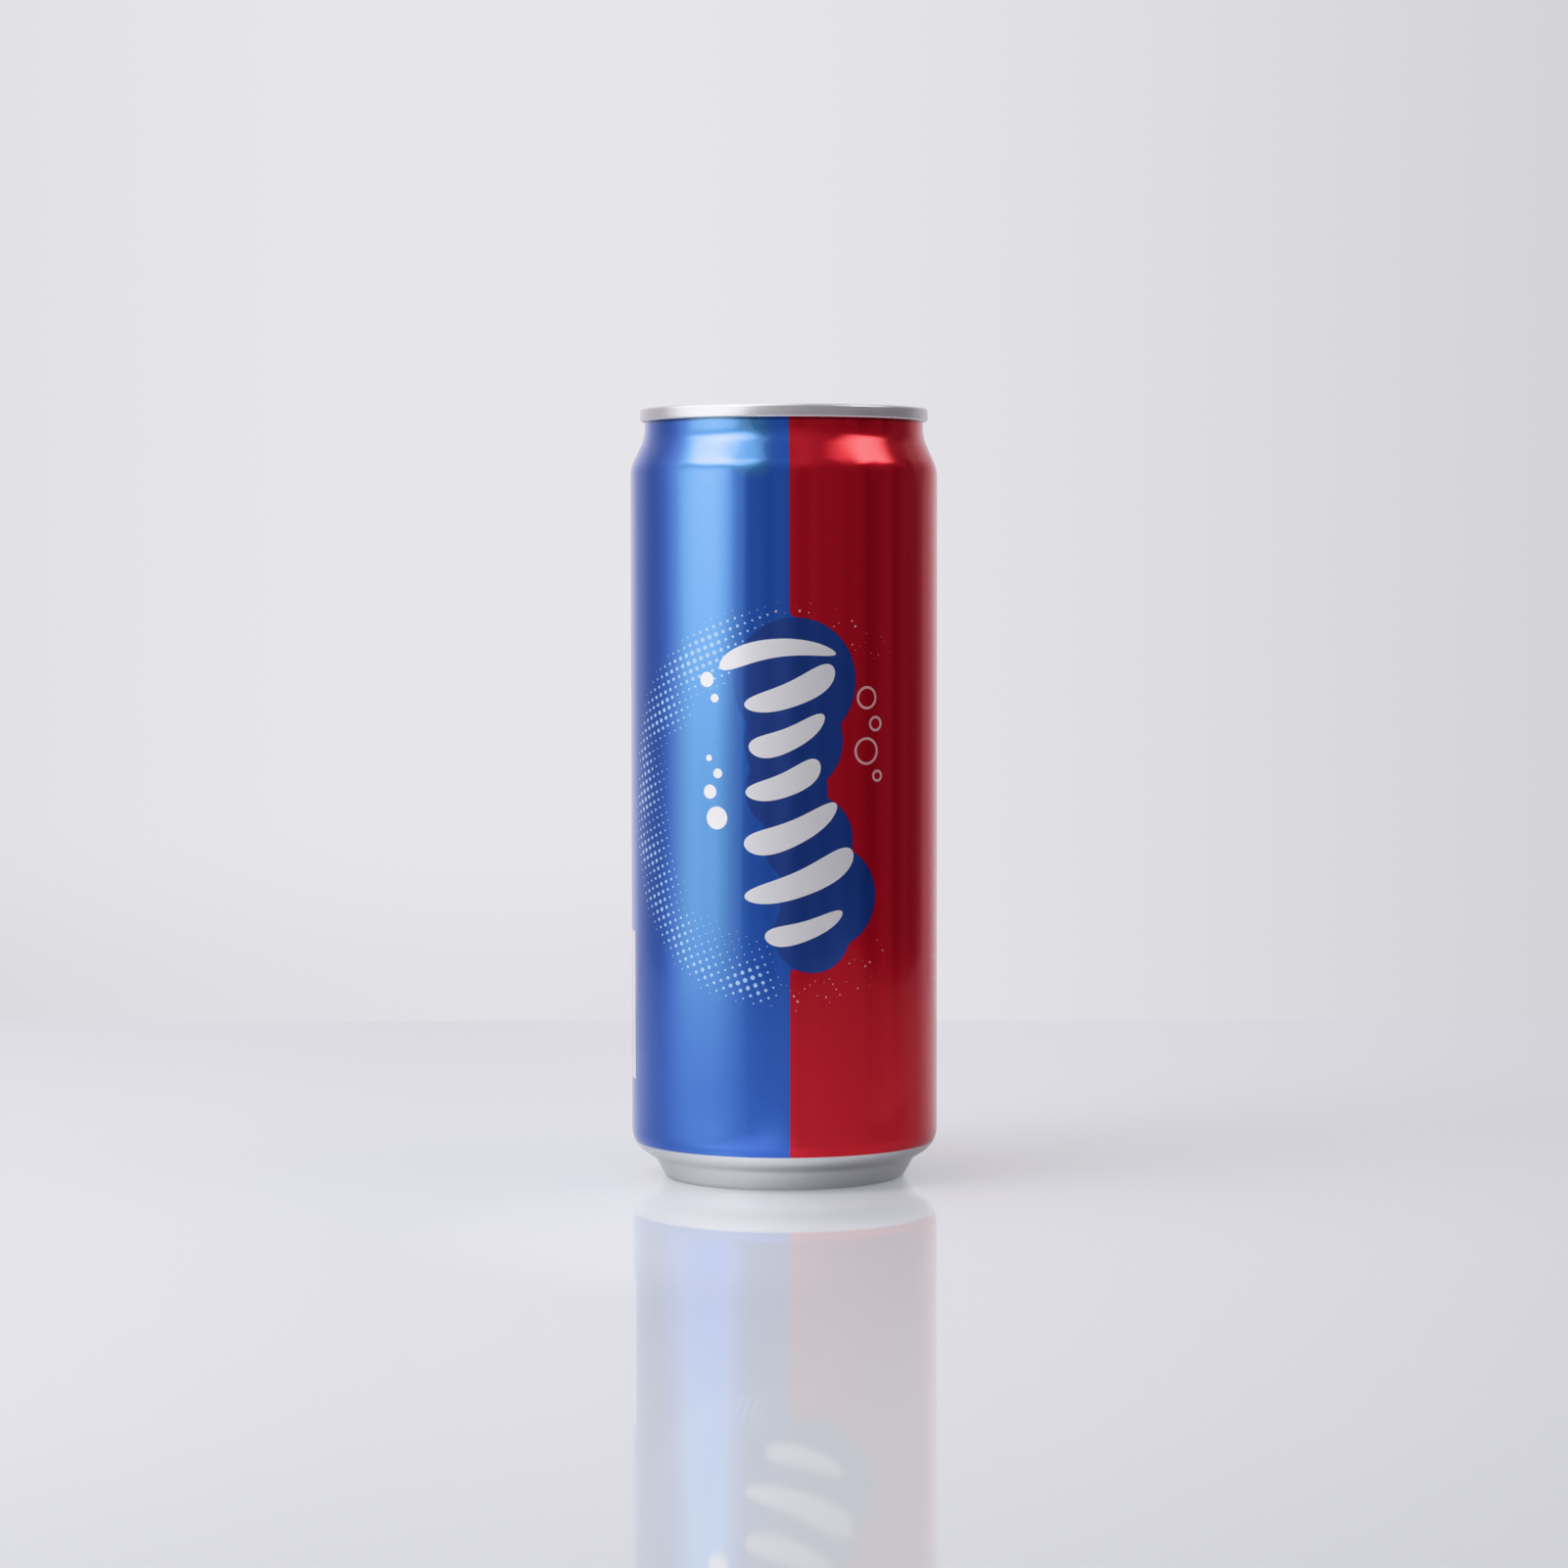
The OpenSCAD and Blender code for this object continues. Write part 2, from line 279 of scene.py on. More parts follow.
canEnd = {
    "turns": 320,
    "sheet": 0.22 * mm,
    "seamThick": 1.23 * mm,
    "chuckIn": 2.4 * mm,
    "sinkWide": 1.2 * mm,
    "panelBend": 0.5 * mm,
    "fieldDepth": 0.3 * mm,
    "fieldGap": 1.5 * mm,
    "fieldHeelR": 9.4 * mm,
    "pourHalfWide": 10.2 * mm,
    "pourNear": 3.9 * mm,
    "pourGap": 1.7 * mm,
    "scoreDepth": 0.09 * mm,
    "scoreHalf": 0.16 * mm,
    "innerScore": 0.9 * mm,
    "beadRise": 0.25 * mm,
    "beadHalf": 0.5 * mm,
    "beadHalfWide": 7.3 * mm,
    "beadNear": 9.9 * mm,
    "beadFar": 15.7 * mm,
    "wellAt": 15.6 * mm,
    "wellDepth": 0.35 * mm,
    "bumpAt": (8.9 * mm, 7.5 * mm),
    "bumpRise": 0.28 * mm,
    "corePlate": 1.1 * mm,
    "rivetR": 2.7 * mm,
    "waistR": 1.6 * mm,
    "rivetPadR": 3.4 * mm,
    "rivetPadRise": 0.35 * mm,
    "clampGap": 0.34 * mm,
    "rings": 92,
    "metalColour": (0.85, 0.86, 0.87),
    "roughness": 0.28,
}

seamIn = seamR - canEnd["seamThick"]
sinkOut = seamIn - canEnd["chuckIn"]
sinkIn = sinkOut - canEnd["sinkWide"]
fieldZ = panelZ - canEnd["fieldDepth"]
fieldR = sinkIn - canEnd["panelBend"] - canEnd["fieldGap"]


def eggDistance(x, y, r1, y1, r2, y2):
    # distance to a round of r1 at y1 and one of r2 at y2 with straight sides between them
    x, y, tall = abs(x), y - y1, y2 - y1
    b = (r1 - r2) / tall
    a = math.sqrt(1 - b * b)
    k = y * a - x * b
    if k < 0:
        return math.hypot(x, y) - r1
    if k > a * tall:
        return math.hypot(x, y - tall) - r2
    return x * a + y * b - r1


def ovalDistance(x, y, halfWide, near, far):
    r = (far - near) / 2
    return math.hypot(max(abs(x) - halfWide + r, 0), y + (far + near) / 2) - r


def softStep(value, start, end):
    t = min(1, max(0, (value - start) / (end - start)))
    return t * t * (3 - 2 * t)


def panelRelief(x, y, sizes):
    pourFar = fieldR - sizes["pourGap"]
    wideR = sizes["pourHalfWide"] + sizes["pourGap"]
    heelR = sizes["fieldHeelR"]
    field = eggDistance(x, y, wideR, wideR - fieldR, heelR, fieldR - heelR)
    pour = ovalDistance(x, y, sizes["pourHalfWide"], sizes["pourNear"], pourFar)
    bead = ovalDistance(x, y, sizes["beadHalfWide"], sizes["beadNear"], sizes["beadFar"])
    rise = -sizes["fieldDepth"] * (1 - softStep(field, -0.55 * mm, 0.25 * mm))
    rise -= sizes["scoreDepth"] * math.exp(-(pour / sizes["scoreHalf"]) ** 2)
    rise -= 0.4 * sizes["scoreDepth"] * math.exp(-((pour + sizes["innerScore"]) / sizes["scoreHalf"]) ** 2)
    rise += sizes["beadRise"] * math.exp(-(bead / sizes["beadHalf"]) ** 2)
    # finger well under the tab's heel, and a small bump on either side of the tab
    well = math.hypot(x / 1.25, y - sizes["wellAt"])
    rise -= sizes["wellDepth"] * (1 - softStep(well, 2.2 * mm, 4.6 * mm))
    bumpX, bumpY = sizes["bumpAt"]
    for side in (-1, 1):
        bump = math.hypot(x - side * bumpX, y - bumpY)
        rise += sizes["bumpRise"] * (1 - softStep(bump, 0.5 * mm, 1.25 * mm))
    return rise


def makeCanEnd(sizes):
    low = sizes["sheet"]
    panelEdge = sinkIn - 0.02 * mm
    rings = [(panelEdge * i / sizes["rings"], panelZ, 0) for i in range(sizes["rings"] - 3)]
    corners = rings + [
        (sinkIn, panelZ, sizes["panelBend"]),
        (sinkIn, sinkZ, 0.5 * mm),
        (sinkOut, sinkZ, 0.5 * mm),
        (seamIn - 0.02 * mm, seamLow + 0.2 * mm, 1.6 * mm),
        (seamIn, canTop, 0.55 * mm),
        (seamR - 0.06 * mm, canTop, 0.5 * mm),
        (seamR, canTop - 1.3 * mm, 6 * mm),
        (seamR - 0.02 * mm, seamLow, 0.42 * mm),
        (neckR + 0.2 * mm, seamLow + 0.1 * mm, 0.15 * mm),
        (neckR - 0.05 * mm, seamLow + 0.7 * mm, 0),
        (seamIn + low, seamLow + 0.2 * mm, 0.5 * mm),
        (sinkOut + low, sinkZ - low, 0.7 * mm),
        (sinkIn - low, sinkZ - low, 0.7 * mm),
        (sinkIn - 1.2 * mm, panelZ - sizes["corePlate"], 0.3 * mm),
        (0, panelZ - sizes["corePlate"], 0),
    ]
    piece = latheOutline(roundedOutline(corners, 9), sizes["turns"])
    finishPiece(piece, "canEnd", 50)
    for vertex in piece.data.vertices:
        co = vertex.co
        if co.z > panelZ - 0.02 * mm and math.hypot(co.x, co.y) < sinkIn - sizes["panelBend"]:
            co.z += panelRelief(co.x, co.y, sizes)

    # rivet: pad, waist, and the head that clamps the tab, with a dimple
    webZ = fieldZ + sizes["rivetPadRise"]
    headLow = webZ + sizes["clampGap"]
    rivetR, waistR = sizes["rivetR"], sizes["waistR"]
    rivet = latheOutline(roundedOutline([
        (0, headLow + 0.2 * mm, 0),
        (0.9 * mm, headLow + 0.2 * mm, 0.5 * mm),
        (1.35 * mm, headLow + 0.4 * mm, 0.4 * mm),
        (2.4 * mm, headLow + 0.4 * mm, 0.5 * mm),
        (rivetR, headLow + 0.02 * mm, 0.12 * mm),
        (waistR, headLow, 0.05 * mm),
        (waistR, webZ, 0.05 * mm),
        (rivetR, webZ, 0.25 * mm),
        (sizes["rivetPadR"], fieldZ - 0.05 * mm, 0.2 * mm),
        (0, fieldZ - 0.3 * mm, 0),
    ], 15), 64)
    finishPiece(rivet, "rivet", 50)
    joinPieces(piece, [rivet])
    print("end: seam, chuck wall, countersink, pressed panel and rivet")
    return piece


# the stay-on tab

pullTab = {
    "noseR": 7.8 * mm,
    "noseAt": -0.8 * mm,
    "heelR": 6.7 * mm,
    "heelAt": sinkIn - 12.7 * mm,
    "hemWide": 1.9 * mm,
    "hemThick": 1.1 * mm,
    "webThick": 0.34 * mm,
    "lift": 0.12 * mm,
    "pad": 0.35 * mm,
    "holeNear": 6.2 * mm,
    "holeGap": 0.5 * mm,
    "holeBend": 2 * mm,
    "holeRollWide": 0.75 * mm,
    "holeRollThick": 0.62 * mm,
    "slotR": 4.1 * mm,
    "slotWide": 0.8 * mm,
    "slotSpan": 236,
    "barAt": 5.05 * mm,
    "barSize": (6.4 * mm, 0.9 * mm, 0.5 * mm),
    "barBend": 0.22 * mm,
    "metalColour": (0.82, 0.83, 0.85),
    "roughness": 0.24,
}


def eggLoop(r1, y1, r2, y2, z, points=160):
    # a circle whose heel side is moved up the y axis and scaled to the heel's radius
    startPiece()
    bpy.ops.mesh.primitive_circle_add(vertices=points, radius=r1, fill_type="NOTHING", location=(0, y1, z))
    loop = bpy.context.object
    lean = math.asin((r1 - r2) / (y2 - y1))
    bpy.ops.object.transform_apply(location=True)
    bpy.ops.object.mode_set(mode="EDIT")
    mesh = bmesh.from_edit_mesh(loop.data)
    for vertex in mesh.verts:
        vertex.select_set((vertex.co.y - y1) / r1 > math.sin(lean) - 1e-4)
    bmesh.update_edit_mesh(loop.data)
    bpy.ops.transform.resize(value=(r2 / r1,) * 3, center_override=(0, y1, z))
    bpy.ops.transform.translate(value=(0, y2 - y1, 0))
    bpy.ops.object.mode_set(mode="OBJECT")
    return loop


def plateLoop(nearHalf, nearY, nearBend, farHalf, farY, farBend, z):
    # a square pulled to a keystone, with its corners bevelled round
    startPiece()
    bpy.ops.mesh.primitive_plane_add(size=2, location=(0, 0, 0))
    loop = bpy.context.object
    bpy.ops.object.mode_set(mode="EDIT")
    bpy.ops.mesh.delete(type="ONLY_FACE")
    for far, half, y, bend in ((False, nearHalf, nearY, nearBend), (True, farHalf, farY, farBend)):
        mesh = bmesh.from_edit_mesh(loop.data)
        bpy.ops.mesh.select_all(action="DESELECT")
        for vertex in mesh.verts:
            vertex.select_set((vertex.co.y > 0.5) == far)
        bmesh.update_edit_mesh(loop.data)
        bpy.ops.transform.resize(value=(half, 1, 1), center_override=(0, 0, 0))
        bpy.ops.transform.translate(value=(0, y - (1 if far else -1), z))
        bpy.ops.mesh.bevel(affect="VERTICES", offset=bend, segments=14, clamp_overlap=False)
    bpy.ops.object.mode_set(mode="OBJECT")
    return loop


def arcSlotLoop(r, wide, sweep, z, points=48):
    # a circle, opened towards the heel and given its width by extruding and joining its ends
    startPiece()
    inR, outR = r - wide / 2, r + wide / 2
    bpy.ops.mesh.primitive_circle_add(vertices=points, radius=inR, fill_type="NOTHING", location=(0, 0, z))
    loop = bpy.context.object
    bpy.ops.object.transform_apply(location=True)
    bpy.ops.object.mode_set(mode="EDIT")
    mesh = bmesh.from_edit_mesh(loop.data)
    for vertex in mesh.verts:
        away = abs(math.degrees(math.atan2(vertex.co.x, -vertex.co.y)))
        vertex.select_set(away > sweep / 2)
    bmesh.update_edit_mesh(loop.data)
    bpy.ops.mesh.delete(type="VERT")
    bpy.ops.mesh.select_all(action="SELECT")
    bpy.ops.mesh.extrude_edges_move(TRANSFORM_OT_translate={"value": (0, 0, 0)})
    grow = outR / inR
    bpy.ops.transform.resize(value=(grow, grow, 1), center_override=(0, 0, z))
    bpy.ops.mesh.select_all(action="SELECT")
    bpy.ops.mesh.delete(type="ONLY_FACE")
    mesh = bmesh.from_edit_mesh(loop.data)
    # only the bars across the two tips of the slot stay
    for edge in mesh.edges:
        start, end = (v.co for v in edge.verts)
        across = (math.hypot(start.x, start.y) > r) != (math.hypot(end.x, end.y) > r)
        away = max(abs(math.degrees(math.atan2(co.x, -co.y))) for co in (start, end))
        edge.select_set(across and away <= sweep / 2 - 5)
    bmesh.update_edit_mesh(loop.data)
    bpy.ops.mesh.delete(type="EDGE")
    bpy.ops.object.mode_set(mode="OBJECT")
    return loop


def rollAlong(loop, wide, thick):
    # a rounded bar swept along a closed loop
    pick(loop)
    bpy.ops.object.convert(target="CURVE")
    path = bpy.context.object
    startPiece()
    bpy.ops.mesh.primitive_plane_add(size=1, location=(0, 0, 0))
    section = bpy.context.object
    bpy.ops.object.mode_set(mode="EDIT")
    bpy.ops.transform.resize(value=(wide, thick, 1))
    bpy.ops.mesh.delete(type="ONLY_FACE")
    bpy.ops.mesh.select_all(action="SELECT")
    bpy.ops.mesh.bevel(affect="VERTICES", offset=min(wide, thick) * 0.47, segments=8)
    bpy.ops.object.mode_set(mode="OBJECT")
    bpy.ops.object.convert(target="CURVE")
    section = bpy.context.object
    path.data.dimensions = "3D"
    path.data.twist_mode = "Z_UP"
    path.data.bevel_mode = "OBJECT"
    path.data.bevel_object = section
    pick(path)
    bpy.ops.object.convert(target="MESH")
    rolled = bpy.context.object
    bpy.data.objects.remove(section)
    return rolled


def makePullTab(sizes):
    noseR, heelR = sizes["noseR"], sizes["heelR"]
    noseAt, heelAt = sizes["noseAt"], sizes["heelAt"]
    hem, gap = sizes["hemWide"], sizes["holeGap"]
    hemMid = fieldZ + sizes["lift"] + sizes["hemThick"] / 2
    webZ = fieldZ + sizes["pad"]
    webMid = webZ + sizes["webThick"] / 2

    hemLoop = eggLoop(noseR - hem / 2, noseAt, heelR - hem / 2, heelAt, hemMid)
    rim = rollAlong(hemLoop, hem, sizes["hemThick"])
    finishPiece(rim, "tabRim", 60)

    # finger hole with its own small roll
    lean = math.asin((noseR - heelR) / (heelAt - noseAt))
    nearHalf = (noseR - hem - gap - (sizes["holeNear"] - noseAt) * math.sin(lean)) / math.cos(lean)
    farHalf = heelR - hem - gap
    holeFar = heelAt + farHalf
    holeShape = (nearHalf, sizes["holeNear"], sizes["holeBend"], farHalf, holeFar, farHalf * 0.96)
    holeLoop = plateLoop(*holeShape, webMid + 0.1 * mm)
    holeRim = rollAlong(holeLoop, sizes["holeRollWide"], sizes["holeRollThick"])
    finishPiece(holeRim, "tabHoleRim", 60)

    # web between the rolls, filled between its loops
    web = eggLoop(noseR - hem / 2, noseAt, heelR - hem / 2, heelAt, webMid)
    hole = plateLoop(*holeShape, webMid)
    slot = arcSlotLoop(sizes["slotR"], sizes["slotWide"], sizes["slotSpan"], webMid)
    joinPieces(web, [hole, slot])
    bpy.ops.object.mode_set(mode="EDIT")
    bpy.ops.mesh.select_all(action="SELECT")
    bpy.ops.mesh.remove_doubles(threshold=0.002 * mm)
    bpy.ops.mesh.fill(use_beauty=True)
    bpy.ops.object.mode_set(mode="OBJECT")
    applyModifier(web, "SOLIDIFY", thickness=sizes["webThick"], offset=0)
    applyModifier(web, "BEVEL", width=0.07 * mm, segments=2, limit_method="ANGLE",
                  angle_limit=math.radians(50))
    finishPiece(web, "tabWeb", 40)

    # raised bar between the finger hole and the rivet
    startPiece()
    bpy.ops.mesh.primitive_cube_add(size=1, location=(0, sizes["barAt"], webZ + sizes["webThick"]))
    bar = bpy.context.object
    bpy.ops.object.mode_set(mode="EDIT")
    bpy.ops.transform.resize(value=sizes["barSize"])
    bpy.ops.mesh.bevel(offset=sizes["barBend"], segments=5)
    finishPiece(bar, "tabBar", 60)
    joinPieces(web, [rim, holeRim, bar])
    web.name = web.data.name = "pullTab"
    print("tab: rolled rim, web, slot, finger hole and bar")
    return web


# material helpers

def calc(tree, kind, *values, clamp=False):
    node = tree.nodes.new("ShaderNodeMath")
    node.operation = kind
    node.use_clamp = clamp
    for socket, value in zip(node.inputs, values):
        if isinstance(value, (int, float)):
            socket.default_value = value
        else:
            tree.links.new(value, socket)
    return node.outputs[0]


def span(tree, value, start, end, toLow=0.0, toHigh=1.0):
    node = tree.nodes.new("ShaderNodeMapRange")
    node.interpolation_type = "SMOOTHSTEP"
    tree.links.new(value, node.inputs["Value"])
    for name, number in (("From Min", start), ("From Max", end), ("To Min", toLow), ("To Max", toHigh)):
        node.inputs[name].default_value = number
    return node.outputs["Result"]


def blendColour(tree, mask, under, over):
    node = tree.nodes.new("ShaderNodeMix")
    node.data_type = "RGBA"
    tree.links.new(mask, node.inputs["Factor"])
    for name, value in (("A", under), ("B", over)):
        socket = next(s for s in node.inputs if s.name == name and s.type == "RGBA")
        if isinstance(value, tuple):
            socket.default_value = (*value, 1)
        else:
            tree.links.new(value, socket)
    return next(s for s in node.outputs if s.type == "RGBA")


def noise(tree, vector, scale, detail=2.0, roughness=0.5):
    node = tree.nodes.new("ShaderNodeTexNoise")
    tree.links.new(vector, node.inputs["Vector"])
    node.inputs["Scale"].default_value = scale
    node.inputs["Detail"].default_value = detail
    node.inputs["Roughness"].default_value = roughness
    return node.outputs["Fac"]


def scaled(tree, colour, amount):
    node = tree.nodes.new("ShaderNodeVectorMath")
    node.operation = "SCALE"
    if isinstance(colour, tuple):
        node.inputs[0].default_value = colour
    else:
        tree.links.new(colour, node.inputs[0])
    tree.links.new(amount, node.inputs["Scale"])
    return node.outputs[0]


def raiseBump(tree, shader, height, strength):
    bump = tree.nodes.new("ShaderNodeBump")
    bump.inputs["Strength"].default_value = strength
    bump.inputs["Distance"].default_value = 0.02 * mm
    tree.links.new(height, bump.inputs["Height"])
    tree.links.new(bump.outputs[0], shader.inputs["Normal"])


def distanceFrom(tree, x, y):
    squares = calc(tree, "ADD", calc(tree, "MULTIPLY", x, x), calc(tree, "MULTIPLY", y, y))
    return calc(tree, "SQRT", squares)


def joinAxes(tree, x, y, z=0.0):
    node = tree.nodes.new("ShaderNodeCombineXYZ")
    for socket, value in zip(node.inputs, (x, y, z)):
        if isinstance(value, (int, float)):
            socket.default_value = value
        else:
            tree.links.new(value, socket)
    return node.outputs[0]


def splitAxes(tree, vector):
    node = tree.nodes.new("ShaderNodeSeparateXYZ")
    tree.links.new(vector, node.inputs[0])
    return node.outputs


def newGroup(name, inputs, outputs):
    group = bpy.data.node_groups.new(name, "ShaderNodeTree")
    for label, kind, value in inputs:
        socket = group.interface.new_socket(label, in_out="INPUT", socket_type="NodeSocket" + kind)
        if value is not None:
            socket.default_value = value
    for label, kind in outputs:
        group.interface.new_socket(label, in_out="OUTPUT", socket_type="NodeSocket" + kind)
    return group, group.nodes.new("NodeGroupInput").outputs, group.nodes.new("NodeGroupOutput").inputs


def useGroup(tree, group, **values):
    node = tree.nodes.new("ShaderNodeGroup")
    node.node_tree = group
    for name, value in values.items():
        socket = node.inputs[name]
        if isinstance(value, (int, float)):
            socket.default_value = value
        else:
            tree.links.new(value, socket)
    return node.outputs


# effects that several finishes share

def makeUnrollGroup():
    # millimetres round the wall from the front, and up from the base
    group, given, result = newGroup(
        "unroll", [("Place", "Vector", None)], [("Round", "Float"), ("Up", "Float")])
    x, y, z = splitAxes(group, given["Place"])
    angle = calc(group, "ARCTAN2", x, calc(group, "MULTIPLY", y, -1.0))
    group.links.new(calc(group, "MULTIPLY", angle, wallR / mm), result["Round"])
    group.links.new(calc(group, "MULTIPLY", z, 1 / mm), result["Up"])
    return group


def makeStreakGroup():
    # fine lines left by drawing or rolling the sheet, with some waviness of it
    group, given, result = newGroup(
        "drawnStreaks",
        [("Across", "Float", 0.0), ("Along", "Float", 0.0)],
        [("Fine", "Float"), ("Broad", "Float")])
    layers = (("Fine", 9.0, 0.22, 3.0, 0.6), ("Broad", 0.35, 0.05, 1.0, 0.5))
    for label, across, along, detail, roughness in layers:
        stretched = joinAxes(group, calc(group, "MULTIPLY", given["Across"], across),
                             calc(group, "MULTIPLY", given["Along"], along))
        group.links.new(noise(group, stretched, 1.0, detail, roughness), result[label])
    return group


def makeWearGroup():
    # specks of dust, and soft smears from handling
    group, given, result = newGroup(
        "handling", [("Place", "Vector", None)], [("Specks", "Float"), ("Smear", "Float")])
    cells = group.nodes.new("ShaderNodeTexVoronoi")
    group.links.new(given["Place"], cells.inputs["Vector"])
    cells.inputs["Scale"].default_value = 190
    near = span(group, cells.outputs["Distance"], 0.035, 0.06, 1, 0)
    lucky = span(group, noise(group, given["Place"], 70), 0.62, 0.66)
    group.links.new(calc(group, "MULTIPLY", near, lucky), result["Specks"])
    group.links.new(noise(group, given["Place"], 60, 4.0, 0.6), result["Smear"])
    return group


def makeStrokeGroup():
    # distance from a bent, tapered brush stroke, in millimetres and less than nothing inside
    group, given, result = newGroup("brushStroke", [
        ("Round", "Float", 0.0), ("Up", "Float", 0.0), ("AtRound", "Float", 0.0), ("AtUp", "Float", 0.0),
        ("Turn", "Float", 0.0), ("Half", "Float", 10.0), ("Wide", "Float", 2.0),
        ("Bend", "Float", 0.0), ("Taper", "Float", 0.0)], [("Distance", "Float")])
    du = calc(group, "SUBTRACT", given["Round"], given["AtRound"])
    dv = calc(group, "SUBTRACT", given["Up"], given["AtUp"])
    c, s = calc(group, "COSINE", given["Turn"]), calc(group, "SINE", given["Turn"])
    along = calc(group, "ADD", calc(group, "MULTIPLY", du, c), calc(group, "MULTIPLY", dv, s))
    across = calc(group, "SUBTRACT", calc(group, "MULTIPLY", dv, c), calc(group, "MULTIPLY", du, s))
    share = calc(group, "DIVIDE", along, given["Half"])
    square = calc(group, "MULTIPLY", share, share)
    across = calc(group, "SUBTRACT", across, calc(group, "MULTIPLY", given["Bend"], square))
    fourth = calc(group, "MULTIPLY", square, square)
    full = calc(group, "SQRT", calc(group, "SUBTRACT", 1.0, fourth, clamp=True))
    lopsided = calc(group, "MULTIPLY_ADD", given["Taper"], share, 1.0)
    width = calc(group, "MULTIPLY", calc(group, "MULTIPLY", given["Wide"], full), lopsided)
    past = calc(group, "SUBTRACT", calc(group, "ABSOLUTE", along), given["Half"])
    past = calc(group, "MAXIMUM", past, 0.0)
    side = calc(group, "SUBTRACT", calc(group, "ABSOLUTE", across), width)
    group.links.new(calc(group, "ADD", side, past), result["Distance"])
    return group


def makeDotGroup():
    # halftone dots on a turned grid: the size of each one is asked for at its own middle
    group, given, result = newGroup("dotGrid", [
        ("Round", "Float", 0.0), ("Up", "Float", 0.0), ("Pitch", "Float", 1.5), ("Turn", "Float", 0.4)],
        [("Distance", "Float"), ("MiddleRound", "Float"), ("MiddleUp", "Float")])
    c, s = calc(group, "COSINE", given["Turn"]), calc(group, "SINE", given["Turn"])

    def turned(a, b, sign):
        first = calc(group, "MULTIPLY", a, c)
        second = calc(group, "MULTIPLY", b, calc(group, "MULTIPLY", s, sign))
        return calc(group, "ADD", first, second)

    p = calc(group, "DIVIDE", turned(given["Round"], given["Up"], 1.0), given["Pitch"])
    q = calc(group, "DIVIDE", turned(given["Up"], given["Round"], -1.0), given["Pitch"])
    midP = calc(group, "ADD", calc(group, "FLOOR", p), 0.5)
    midQ = calc(group, "ADD", calc(group, "FLOOR", q), 0.5)
    dp, dq = calc(group, "SUBTRACT", p, midP), calc(group, "SUBTRACT", q, midQ)
    found = {
        "Distance": distanceFrom(group, dp, dq),
        "MiddleRound": turned(midP, midQ, -1.0),
        "MiddleUp": turned(midQ, midP, 1.0),
    }
    for label, value in found.items():
        group.links.new(calc(group, "MULTIPLY", value, given["Pitch"]), result[label])
    return group


unroll, streaks, handling = makeUnrollGroup(), makeStreakGroup(), makeWearGroup()
brushStroke, dotGrid = makeStrokeGroup(), makeDotGroup()


# the printed wall, in millimetres round it and up it

printedWall = {
    "blue": (0.056, 0.180, 0.715),
    # painted highlight colour: the lighter, more cyan blue laid where the left lamps are mirrored
    "paintedHighlightBlue": (0.102, 0.318, 0.670),
    "navy": (0.060, 0.128, 0.470),
    "red": (0.780, 0.022, 0.036),
    "white": (0.86, 0.87, 0.89),
    "pale": (0.42, 0.68, 0.98),
    "blush": (0.86, 0.50, 0.50),
    "bare": (0.90, 0.91, 0.93),
    "dust": (0.75, 0.77, 0.82),
    "splitAt": 1.0,
    # the blue bulges over the red side in rounds: middle round, middle up, radius
    "bulges": [
        (2.0, 94.6, 11.6), (1.8, 83.5, 9.2), (0.4, 74.6, 7.6),
        (4.6, 65.4, 8.4), (8.4, 55.0, 9.4), (5.2, 48.2, 7.2),
    ],
    "bulgeBlend": 2.2,
    # slanted strokes: middle round, middle up, turn, half length, half width, bend, taper
    "strokes": [
        (-1.5, 100.6, 6, 11.0, 1.7, -2.2, -0.30),
        (1.5, 92.2, 22, 9.0, 2.3, 1.3, 0.20),
        (1.0, 84.0, 24, 7.6, 2.1, 1.2, -0.20),
        (0.2, 75.6, 22, 7.4, 2.2, 1.2, 0.15),
        (1.8, 66.8, 24, 9.4, 2.3, 1.4, -0.20),
        (3.4, 57.6, 22, 11.0, 2.4, 1.5, 0.20),
        (4.0, 48.8, 18, 7.6, 1.8, 1.0, -0.25),
    ],
    # bubbles: middle round, middle up, radius
    "bubbles": [
        (-12.8, 69.4, 2.1), (-14.2, 74.2, 1.3), (-12.6, 77.6, 0.9), (-14.4, 80.4, 0.6),
        (-14.8, 94.8, 1.4), (-13.2, 91.4, 0.8),
    ],
    # outlined bubbles on the red side
    "outlines": [(16.0, 91.4, 1.9), (17.9, 86.6, 1.2), (15.9, 81.6, 2.3), (18.3, 77.0, 0.9)],
    "outlineHalf": 0.26,
    # halftone ring: its middle and radius, and the pitch and turn of its large and small dots
    "ringAt": (0.0, 71.5),
    "ringR": 34.5,
    "fineRingR": 36.0,
    "dotPitch": 1.5,
    "dotTurn": 0.35,
    "fineDotPitch": 1.2,
    "fineDotTurn": 0.6,
    # upright fields, by their low and high corners
    "sidePanel": ((-63.0, 19.0), (-38.4, 47.0)),
    "sideBars": ((-60.0, 23.0), (-42.0, 43.5)),
    "sideRules": ((38.0, 34.0), (60.0, 66.0)),
    "rulePitch": 4.0,
    # painted highlight, a lighter blue laid where the left lamps are mirrored: its edges from faint to
    # full, and its share at the foot
    "paintedHighlightLeft": (-25.5, -18.5),
    "paintedHighlightRight": (-5.0, -13.5),
    "paintedHighlightUp": (15.0, 58.0),
    "paintedHighlightAtFoot": 0.25,
    "paintedHighlightNeckUp": (131.0, 134.0),
    "paintedHighlightNeckRight": (-1.0, -5.5),
    # shade under the seam: how far below it, from light to dark, and how dark
    "seamShade": (0.55, 0.15),
    "seamShadeTone": 0.35,
}


def unionOf(tree, distances, soft):
    total = distances[0]
    for distance in distances[1:]:
        total = calc(tree, "SMOOTH_MIN", total, distance, soft)
    return total


def circleDistance(tree, around, up, middle, radius):
    du = calc(tree, "SUBTRACT", around, middle[0])
    dv = calc(tree, "SUBTRACT", up, middle[1])
    return calc(tree, "SUBTRACT", distanceFrom(tree, du, dv), radius)


